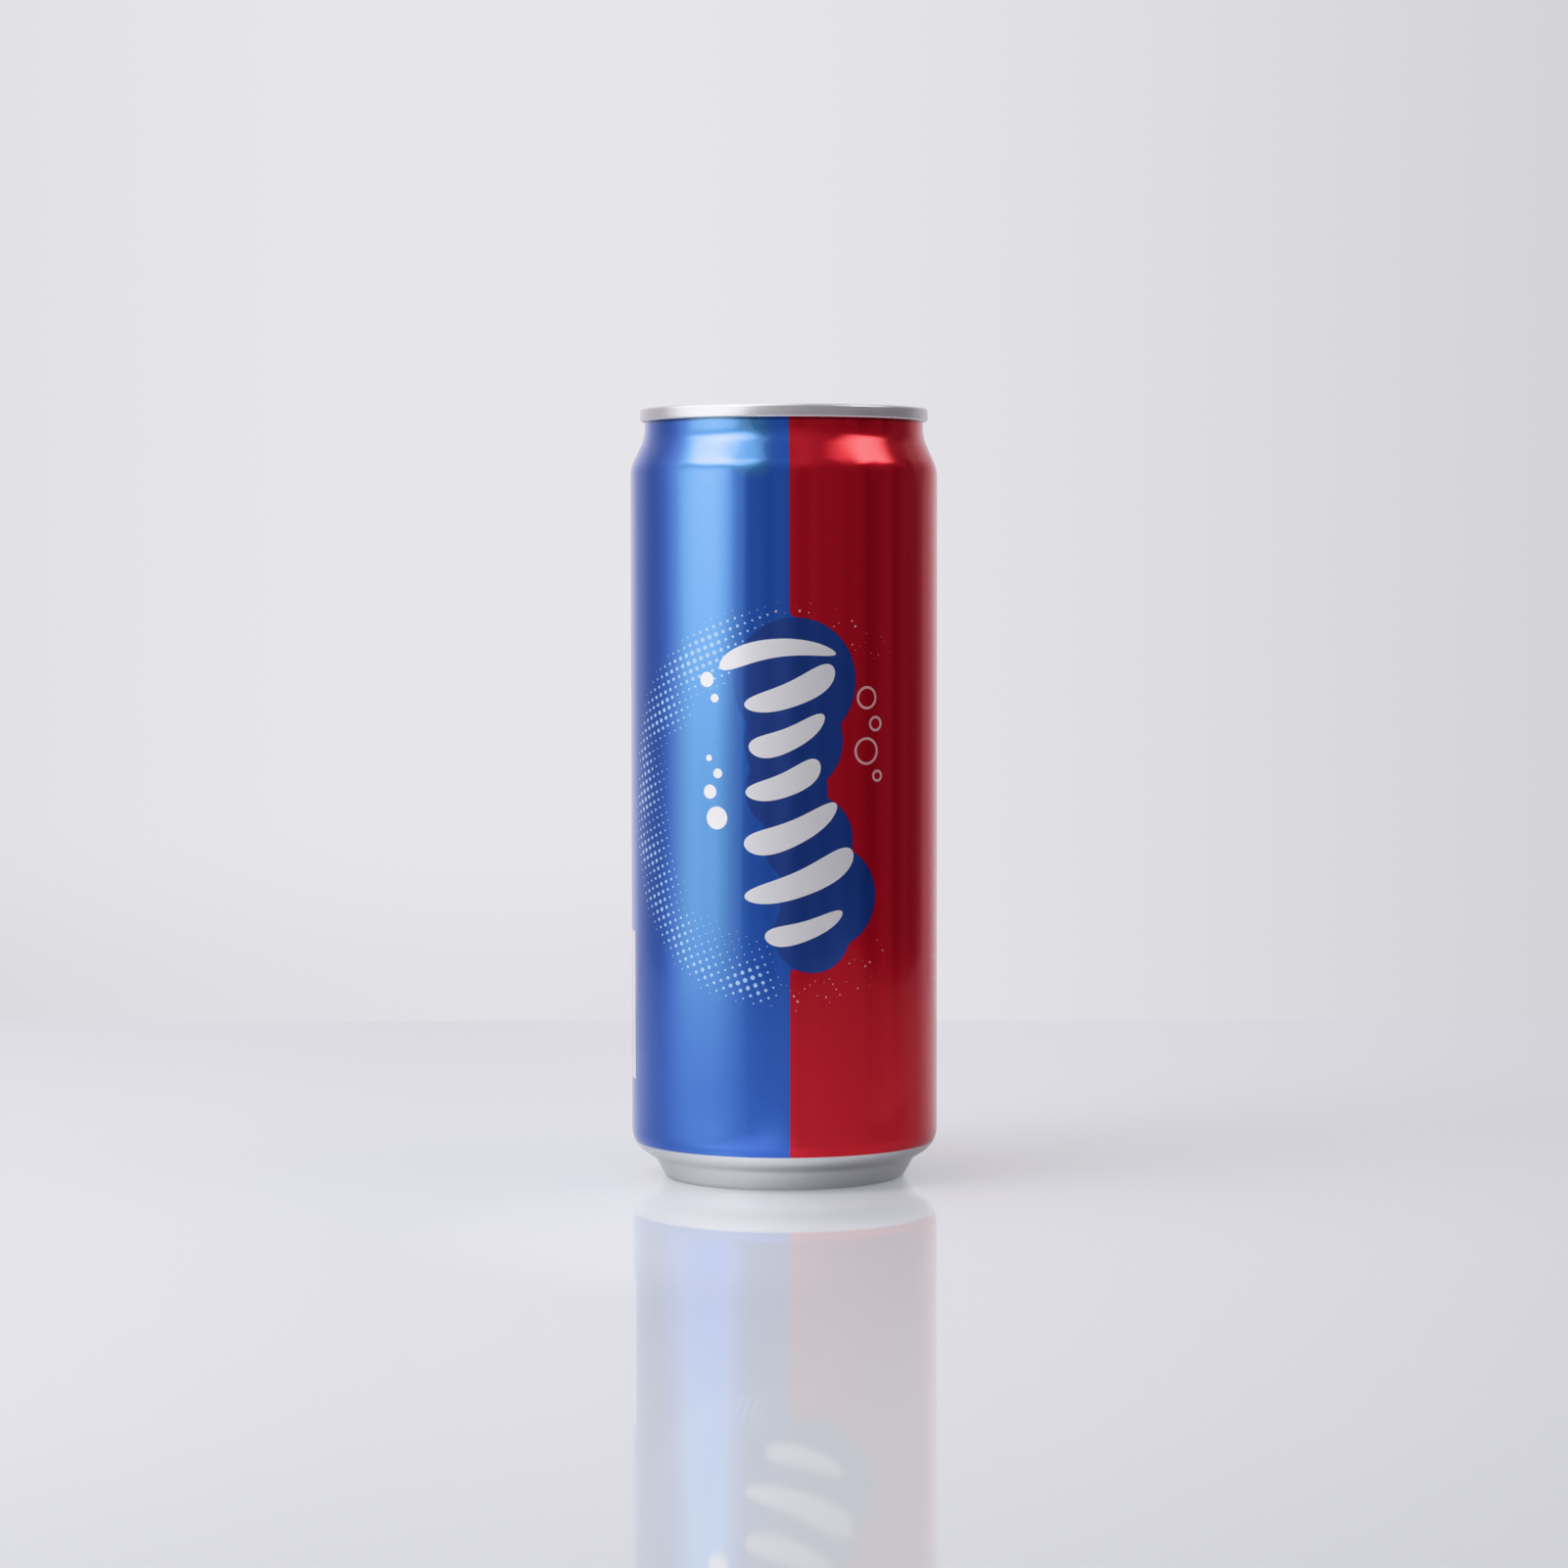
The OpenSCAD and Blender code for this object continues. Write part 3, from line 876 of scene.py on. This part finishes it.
def panelMask(tree, around, up, low, high):
    # one inside an upright field of the print
    sides = calc(tree, "MULTIPLY", span(tree, around, low[0] - 0.06, low[0] + 0.06),
                 span(tree, around, high[0] - 0.06, high[0] + 0.06, 1, 0))
    ends = calc(tree, "MULTIPLY", span(tree, up, low[1] - 0.06, low[1] + 0.06),
                span(tree, up, high[1] - 0.06, high[1] + 0.06, 1, 0))
    return calc(tree, "MULTIPLY", sides, ends)


def newMaterial(name):
    material = bpy.data.materials.new(name)
    material.use_nodes = True
    tree = material.node_tree
    shader = next(n for n in tree.nodes if n.type == "BSDF_PRINCIPLED")
    place = tree.nodes.new("ShaderNodeTexCoord").outputs["Object"]
    return material, tree, shader, place


def strokeDistances(tree, around, up, strokes):
    found = []
    for at, height, turn, half, wide, bend, taper in strokes:
        stroke = useGroup(
            tree, brushStroke, Round=around, Up=up, AtRound=at, AtUp=height,
            Turn=math.radians(turn), Half=half, Wide=wide, Bend=bend, Taper=taper)
        found.append(stroke["Distance"])
    return found


def makePrintedWall(look):
    material, tree, shader, place = newMaterial("printedWall")
    flat = useGroup(tree, unroll, Place=place)
    around, up = flat["Round"], flat["Up"]

    # two fields of colour that meet at the front and at the back, with rounds of the blue over the red
    bulges = [circleDistance(tree, around, up, (at, height), r) for at, height, r in look["bulges"]]
    ground = unionOf(tree, bulges, 1.2)
    split = calc(tree, "SUBTRACT", around, look["splitAt"])
    edge = calc(tree, "SMOOTH_MIN", split, ground, look["bulgeBlend"])
    redSide = span(tree, edge, -0.08, 0.08)
    navy = calc(tree, "MULTIPLY", span(tree, ground, -0.10, 0.10, 1, 0), span(tree, around, -11.5, -5.0))
    # painted highlight: a lighter, more cyan blue left of the front where the left lamps are mirrored,
    # wider at the neck where the neck highlight falls, and fading towards the foot
    atNeck = span(tree, up, *look["paintedHighlightNeckUp"])
    atNeck = calc(tree, "MULTIPLY", atNeck, span(tree, around, *look["paintedHighlightNeckRight"]))
    glow = calc(tree, "MAXIMUM", span(tree, around, *look["paintedHighlightRight"]), atNeck)
    glow = calc(tree, "MULTIPLY", glow, span(tree, around, *look["paintedHighlightLeft"]))
    glow = calc(tree, "MULTIPLY", glow, span(tree, up, *look["paintedHighlightUp"], look["paintedHighlightAtFoot"], 1.0))
    colour = blendColour(tree, glow, look["blue"], look["paintedHighlightBlue"])
    colour = blendColour(tree, navy, colour, look["navy"])
    colour = blendColour(tree, redSide, colour, look["red"])

    # halftone ring, large on the blue side, and a dusting of it on the red side
    dots = useGroup(tree, dotGrid, Round=around, Up=up, Pitch=look["dotPitch"], Turn=look["dotTurn"])
    away = circleDistance(tree, dots["MiddleRound"], dots["MiddleUp"], look["ringAt"], look["ringR"])
    band = calc(tree, "MULTIPLY", span(tree, away, -14.0, -2.0), span(tree, away, -1.0, 4.5, 1, 0))
    patchy = noise(tree, joinAxes(tree, dots["MiddleRound"], dots["MiddleUp"]), 0.10, 1.0)
    toLeft = span(tree, dots["MiddleRound"], 2.0, -6.0)
    size = calc(tree, "MULTIPLY", band, toLeft)
    size = calc(tree, "MULTIPLY", size, span(tree, patchy, 0.30, 0.64, 0.16, 0.44))
    dotEdge = calc(tree, "SUBTRACT", dots["Distance"], size)
    dotMask = calc(tree, "MULTIPLY", span(tree, dotEdge, -0.06, 0.06, 1, 0), span(tree, size, 0.05, 0.10))
    dotMask = calc(tree, "MULTIPLY", dotMask, span(tree, ground, -0.2, 1.0))
    colour = blendColour(tree, dotMask, colour, look["pale"])
    fineDots = useGroup(
        tree, dotGrid, Round=around, Up=up, Pitch=look["fineDotPitch"], Turn=look["fineDotTurn"])
    fineRound, fineUp = fineDots["MiddleRound"], fineDots["MiddleUp"]
    fineAway = circleDistance(tree, fineRound, fineUp, look["ringAt"], look["fineRingR"])
    fineBand = span(tree, fineAway, -8.0, -2.0)
    fineBand = calc(tree, "MULTIPLY", fineBand, span(tree, fineAway, -1.0, 3.5, 1, 0))
    chance = noise(tree, joinAxes(tree, fineRound, fineUp), 3.7, 0.0)
    fineSize = calc(tree, "MULTIPLY", fineBand, span(tree, chance, 0.42, 0.80, 0.0, 0.26))
    fineEdge = calc(tree, "SUBTRACT", fineDots["Distance"], fineSize)
    fineMask = span(tree, fineEdge, -0.05, 0.05, 1, 0)
    fineMask = calc(tree, "MULTIPLY", fineMask, span(tree, fineSize, 0.03, 0.07))
    for value, start, end in ((fineRound, 24.0, 16.0), (fineRound, -6.0, -1.0), (ground, 0.2, 1.0)):
        fineMask = calc(tree, "MULTIPLY", fineMask, span(tree, value, start, end))
    for at, height, r in look["outlines"]:
        rim = calc(tree, "ABSOLUTE", circleDistance(tree, around, up, (at, height), r))
        rim = span(tree, calc(tree, "SUBTRACT", rim, look["outlineHalf"]), -0.08, 0.08, 1, 0)
        fineMask = calc(tree, "MAXIMUM", fineMask, rim)
    colour = blendColour(tree, fineMask, colour, look["blush"])

    # white strokes and bubbles
    strokeEdge = unionOf(tree, strokeDistances(tree, around, up, look["strokes"]), 0.3)
    whiteMask = span(tree, strokeEdge, -0.08, 0.08, 1, 0)
    for at, height, r in look["bubbles"]:
        bubble = circleDistance(tree, around, up, (at, height), r)
        whiteMask = calc(tree, "MAXIMUM", whiteMask, span(tree, bubble, -0.08, 0.08, 1, 0))

    # white field with plain bars on the left side, and a few thin rules on the right
    field = panelMask(tree, around, up, *look["sidePanel"])
    bars = panelMask(tree, around, up, *look["sideBars"])
    stripes = span(tree, noise(tree, joinAxes(tree, around, 0.0), 1.7, 3.0, 0.9), 0.495, 0.505)
    barMask = calc(tree, "MULTIPLY", bars, stripes)
    whiteMask = calc(tree, "MAXIMUM", whiteMask, calc(tree, "SUBTRACT", field, barMask, clamp=True))
    colour = blendColour(tree, whiteMask, colour, look["white"])
    colour = blendColour(tree, barMask, colour, look["navy"])
    rules = panelMask(tree, around, up, *look["sideRules"])
    lines = calc(tree, "FRACT", calc(tree, "DIVIDE", up, look["rulePitch"]))
    lines = calc(tree, "ABSOLUTE", calc(tree, "SUBTRACT", lines, 0.5))
    ruleMask = calc(tree, "MULTIPLY", rules, span(tree, lines, 0.03, 0.05, 1, 0))
    colour = blendColour(tree, ruleMask, colour, look["blush"])
    ink = whiteMask
    for mask in (dotMask, fineMask, ruleMask):
        ink = calc(tree, "MAXIMUM", ink, mask)

    # the print stops above the foot
    printLow = canBody["printLow"] / mm
    printed = span(tree, up, printLow - 0.1, printLow + 0.1)
    colour = blendColour(tree, printed, look["bare"], colour)

    # drawn sheet: fine lines, soft waviness, dust and smears, and the shade under the seam
    drawn = useGroup(tree, streaks, Across=around, Along=up)
    worn = useGroup(tree, handling, Place=place)
    tone = calc(tree, "MULTIPLY_ADD", calc(tree, "SUBTRACT", drawn["Fine"], 0.5), 0.10, 1.0)
    light, dark = (seamLow / mm - below for below in look["seamShade"])
    tone = calc(tree, "MULTIPLY", tone, span(tree, up, light, dark, 1.0, look["seamShadeTone"]))
    colour = scaled(tree, colour, tone)
    dusty = blendColour(tree, calc(tree, "MULTIPLY", worn["Specks"], 0.6), colour, look["dust"])
    tree.links.new(dusty, shader.inputs["Base Color"])

    bareMetal = calc(tree, "SUBTRACT", 1.0, printed)
    metal = calc(tree, "MAXIMUM", calc(tree, "MULTIPLY_ADD", ink, -0.55, 0.97), bareMetal)
    tree.links.new(metal, shader.inputs["Metallic"])
    rough = calc(tree, "MULTIPLY_ADD", drawn["Fine"], 0.05, 0.10)
    rough = calc(tree, "ADD", rough, calc(tree, "MULTIPLY", worn["Smear"], 0.05))
    tree.links.new(calc(tree, "ADD", rough, calc(tree, "MULTIPLY", ink, 0.15)), shader.inputs["Roughness"])
    tree.links.new(calc(tree, "MULTIPLY", printed, 0.8), shader.inputs["Coat Weight"])
    shader.inputs["Coat IOR"].default_value = 1.8
    shader.inputs["Coat Roughness"].default_value = 0.07
    fine = calc(tree, "MULTIPLY", drawn["Fine"], 0.5)
    raiseBump(tree, shader, calc(tree, "ADD", fine, calc(tree, "MULTIPLY", drawn["Broad"], 2.5)), 0.25)
    return material


def makeBareMetal(name, look, alongY):
    # rolled sheet: grain in one direction, with smears
    material, tree, shader, place = newMaterial(name)
    x, y, z = splitAxes(tree, place)
    across, along = (x, y) if alongY else (y, x)
    across = calc(tree, "MULTIPLY", across, 1 / mm)
    along = calc(tree, "MULTIPLY", along, 1 / mm)
    grain = useGroup(tree, streaks, Across=across, Along=along)
    worn = useGroup(tree, handling, Place=place)
    tone = calc(tree, "MULTIPLY_ADD", calc(tree, "SUBTRACT", grain["Fine"], 0.5), 0.07, 1.0)
    tree.links.new(scaled(tree, look["metalColour"], tone), shader.inputs["Base Color"])
    shader.inputs["Metallic"].default_value = 1.0
    rough = calc(tree, "MULTIPLY_ADD", grain["Fine"], 0.12, look["roughness"] - 0.06)
    smeared = calc(tree, "MULTIPLY_ADD", worn["Smear"], 0.07, rough)
    tree.links.new(smeared, shader.inputs["Roughness"])
    raiseBump(tree, shader, grain["Fine"], 0.08)
    return material


# table, light and camera

studio = {
    "lens": 95.65,
    "cameraHeight": 113.5 * mm,
    "cameraAway": 789.7 * mm,
    "pitch": 2.84,
    "roll": 0.065,
    "tableFront": 0.42,
    "tableBack": 0.273,
    "tableSide": 0.42,
    "tableTone": (0.400, 0.405, 0.420),
    "tableSeen": (0.190, 0.205, 0.212),
    "tableMirrored": (0.102, 0.103, 0.107),
    # painted light on the table near the foot: its strength, its share to the eye, its reach and its side
    "paintedLightOnTable": 0.42,
    "paintedLightOnTableSeen": 0.19,
    "paintedLightOnTableReach": (0.024, 0.075),
    "paintedLightOnTableSide": (-0.022, 0.018),
    "backdrop": (0.856, 0.846, 0.890),
    "room": (0.98, 0.93, 1.0),
    # azimuth from the front, elevation, distance, width, height, radiance,
    # fades at both sides, outer edge, fade at top and bottom
    "lamps": {
        "leftBox": (-71, 22, 0.55, 1.04, 0.98, 0.73, 0.55, 0.42, 0.38, 0.02),
        "leftHigh": (-58, 40, 0.56, 0.62, 0.24, 12.0, 0.55, 0.55, 0.0, 0.4),
        "leftMid": (-60, 11, 0.55, 0.60, 0.28, 1.3, 0.55, 0.45, 0.0, 0.45),
        "rightHigh": (74, 43, 0.95, 0.86, 0.58, 2.3, 0.55, 0.40, 0.0, 0.28),
        "overhead": (-80, 66, 0.65, 0.62, 0.62, 1.5, 0.05, 0.05, 0.0, 0.02),
    },
}


def addLamp(name, azimuth, elevation, away, wide, tall, radiance, fadeLeft, fadeRight, edge, fadeEnds):
    # a soft box that faces the can, with its light fading towards the sides and the ends
    light = bpy.data.lights.new(name, "AREA")
    light.shape = "RECTANGLE"
    light.size, light.size_y = wide, tall
    light.energy = radiance * math.pi * wide * tall
    light.use_nodes = True
    tree = light.node_tree
    across, upright, off = splitAxes(tree, tree.nodes.new("ShaderNodeNewGeometry").outputs["Parametric"])
    left, right = span(tree, across, 0, fadeLeft), span(tree, across, 1, 1 - fadeRight, edge, 1)
    glow = calc(tree, "MULTIPLY", left, right)
    ends = calc(tree, "MULTIPLY", span(tree, upright, 0, fadeEnds), span(tree, upright, 1, 1 - fadeEnds))
    glow = calc(tree, "MULTIPLY", glow, ends)
    tree.links.new(glow, tree.nodes["Emission"].inputs["Strength"])
    lamp = bpy.data.objects.new(name, light)
    bpy.context.collection.objects.link(lamp)
    a, e = math.radians(azimuth), math.radians(elevation)
    back = Vector((math.sin(a) * math.cos(e), -math.cos(a) * math.cos(e), math.sin(e)))
    lamp.location = Vector((0, 0, canTop / 2)) + back * away
    lamp.rotation_mode = "QUATERNION"
    lamp.rotation_quaternion = back.to_track_quat("Z", "Y")
    lamp.visible_camera = False


def makeStudio(look):
    # table, with its far edge behind the can
    startPiece()
    deep = look["tableFront"] + look["tableBack"]
    bpy.ops.mesh.primitive_plane_add(size=1, location=(0, (look["tableBack"] - look["tableFront"]) / 2, 0))
    table = bpy.context.object
    bpy.ops.object.mode_set(mode="EDIT")
    bpy.ops.transform.resize(value=(2 * look["tableSide"], deep, 1))
    bpy.ops.object.mode_set(mode="OBJECT")
    table.name = "table"
    material, tree, shader, place = newMaterial("tableTop")
    isSeen = tree.nodes.new("ShaderNodeLightPath").outputs["Is Camera Ray"]
    tone = blendColour(tree, isSeen, look["tableMirrored"], look["tableSeen"])
    # painted light: the table glows on the left, close to the foot, to lift the shade there, fainter to the
    # eye than mirrored
    x, y, z = splitAxes(tree, place)
    away = distanceFrom(tree, x, y)
    lit = calc(tree, "MULTIPLY", span(tree, away, *look["paintedLightOnTableReach"], look["paintedLightOnTable"], 0.0),
               span(tree, x, *look["paintedLightOnTableSide"], 1.0, 0.0))
    lit = calc(tree, "MULTIPLY", lit, calc(tree, "MULTIPLY_ADD", isSeen, look["paintedLightOnTableSeen"] - 1, 1.0))
    brighter = tree.nodes.new("ShaderNodeVectorMath")
    tree.links.new(tone, brighter.inputs[0])
    tree.links.new(joinAxes(tree, lit, lit, lit), brighter.inputs[1])
    tree.links.new(brighter.outputs[0], shader.inputs["Emission Color"])
    shader.inputs["Emission Strength"].default_value = 1.0
    shader.inputs["Base Color"].default_value = (*look["tableTone"], 1)
    smear = noise(tree, place, 9.0, 3.0)
    tree.links.new(span(tree, smear, 0.3, 0.7, 0.025, 0.045), shader.inputs["Roughness"])
    shader.inputs["IOR"].default_value = 1.2
    table.data.materials.append(material)

    # backdrop, and the dimmer room that the can mirrors
    world = bpy.data.worlds.new("room")
    bpy.context.scene.world = world
    world.use_nodes = True
    tree = world.node_tree
    dx, dy, dz = splitAxes(tree, tree.nodes.new("ShaderNodeTexCoord").outputs["Generated"])
    aside = calc(tree, "ABSOLUTE", calc(tree, "ADD", dx, 0.07))
    seen = span(tree, aside, 0.0, 0.35, 1.0, 0.78)
    # the backdrop darkens a little towards the table on the left
    low = span(tree, dz, -0.105, -0.055, 0.06, 0.0)
    low = calc(tree, "MULTIPLY", low, span(tree, dx, -0.03, 0.03, 1.0, 0.0))
    seen = calc(tree, "SUBTRACT", seen, low)
    toLeft = span(tree, dx, 0.95, -0.45, 0.21, 0.42)
    behind = span(tree, dy, 0.22, 1.15, 0.24, 0.86)
    behind = calc(tree, "MULTIPLY", behind, span(tree, dx, 0.0, 0.4, 1.0, 0.82))
    above = span(tree, dz, 0.2, 0.7, 0.0, 0.14)
    clutter = noise(tree, joinAxes(tree, dx, dy, calc(tree, "MULTIPLY", dz, 0.35)), 3.2, 2.0)
    clutter = span(tree, clutter, 0.36, 0.64, -0.05, 0.05)
    room = calc(tree, "ADD", calc(tree, "MAXIMUM", toLeft, behind), calc(tree, "ADD", above, clutter))
    isSeen = tree.nodes.new("ShaderNodeLightPath").outputs["Is Camera Ray"]
    tint = blendColour(tree, isSeen, look["room"], look["backdrop"])
    strength = calc(tree, "ADD", calc(tree, "MULTIPLY", isSeen, seen),
                    calc(tree, "MULTIPLY", calc(tree, "SUBTRACT", 1.0, isSeen), room))
    background = tree.nodes["Background"]
    tree.links.new(tint, background.inputs["Color"])
    tree.links.new(strength, background.inputs["Strength"])

    for name, settings in look["lamps"].items():
        addLamp(name, *settings)

    cameraData = bpy.data.cameras.new("camera")
    camera = bpy.data.objects.new("camera", cameraData)
    bpy.context.collection.objects.link(camera)
    cameraData.lens = look["lens"]
    cameraData.sensor_width = 36
    cameraData.clip_start, cameraData.clip_end = 0.01, 20
    camera.location = (0, -look["cameraAway"], look["cameraHeight"])
    camera.rotation_euler = (math.radians(90 - look["pitch"]), math.radians(look["roll"]), 0)
    bpy.context.scene.camera = camera
    bpy.context.scene.view_settings.view_transform = "Khronos PBR Neutral"
    print("studio: table, room, lamps and camera")


# put together

body = makeCanBody(canBody)
end = makeCanEnd(canEnd)
tab = makePullTab(pullTab)
body.data.materials.append(makePrintedWall(printedWall))
end.data.materials.append(makeBareMetal("endMetal", canEnd, True))
tab.data.materials.append(makeBareMetal("tabMetal", pullTab, False))
pieces = ((body, "can_body", "printed_wall"), (end, "can_end", "end_metal"), (tab, "pull_tab", "tab_metal"))
for piece, node, slot in pieces:
    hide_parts(node)
    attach(piece, "root")
makeStudio(studio)
